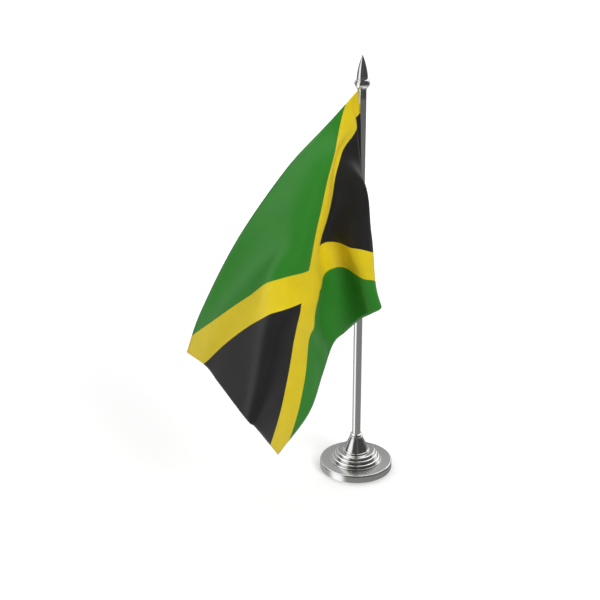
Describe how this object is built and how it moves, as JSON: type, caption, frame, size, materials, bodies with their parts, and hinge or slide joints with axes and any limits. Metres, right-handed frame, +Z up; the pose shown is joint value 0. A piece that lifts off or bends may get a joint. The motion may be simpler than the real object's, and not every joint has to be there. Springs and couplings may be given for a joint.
{
  "type": "desk flag stand",
  "caption": "Desk flag stand: weighted round foot with stacked rings and cone socket, slim chromed pole, ball and spear finial, and a small folded cloth flag.",
  "frame": {"origin": "middle of the foot's underside, on the table, on the pole's axis", "axes": "+Z up along the pole; +X to the right and -Y towards the viewer; the flag reaches towards -X and -Y"},
  "size_m": [0.1887, 0.2024, 0.4076],
  "materials": {
    "chrome": "polished chrome plate",
    "satin_chrome": "satin spun steel",
    "iron": "bare cast iron",
    "steel": "zinc-plated steel",
    "foam": "black closed-cell foam",
    "flag_fabric": "printed satin polyester, green, gold and black"
  },
  "bodies": {
    "stand": {"foot_pad": "foam", "foot_shell": "satin_chrome", "foot_weight": "iron", "flange_ring": "satin_chrome", "lower_ring": "chrome", "middle_ring": "chrome", "upper_ring": "chrome", "cone_socket": "chrome", "pole_collar": "chrome", "pole_tube": "chrome", "pole_foot_plug": "steel", "pole_top_plug": "steel", "base_bolt": "steel", "flat_washer": "steel", "lock_washer": "steel", "finial_stud": "steel"},
    "flag": {"flag_cloth": "flag_fabric", "flag_top_ring": "chrome", "flag_clip_middle": "chrome", "flag_clip_bottom": "chrome"},
    "finial_rise": {"finial_ball": "chrome"},
    "finial": {"finial_spear": "chrome"}
  },
  "joints": [
    {"name": "flag_turn", "type": "hinge", "parent": "stand", "child": "flag", "pos_m": [0, 0, 0], "axis": [0, 0, 1], "continuous": true},
    {"name": "finial_lift", "type": "slide", "parent": "stand", "child": "finial_rise", "axis": [0, 0, 1], "range_m": [0, 0.005]},
    {"name": "finial_turn", "type": "hinge", "parent": "finial_rise", "child": "finial", "pos_m": [0, 0, 0], "axis": [0, 0, 1], "range_deg": [0, 3600]}
  ],
  "couplings": [
    {"joint": "finial_turn", "follows": "finial_lift", "rad_per_m": 12566}
  ]
}
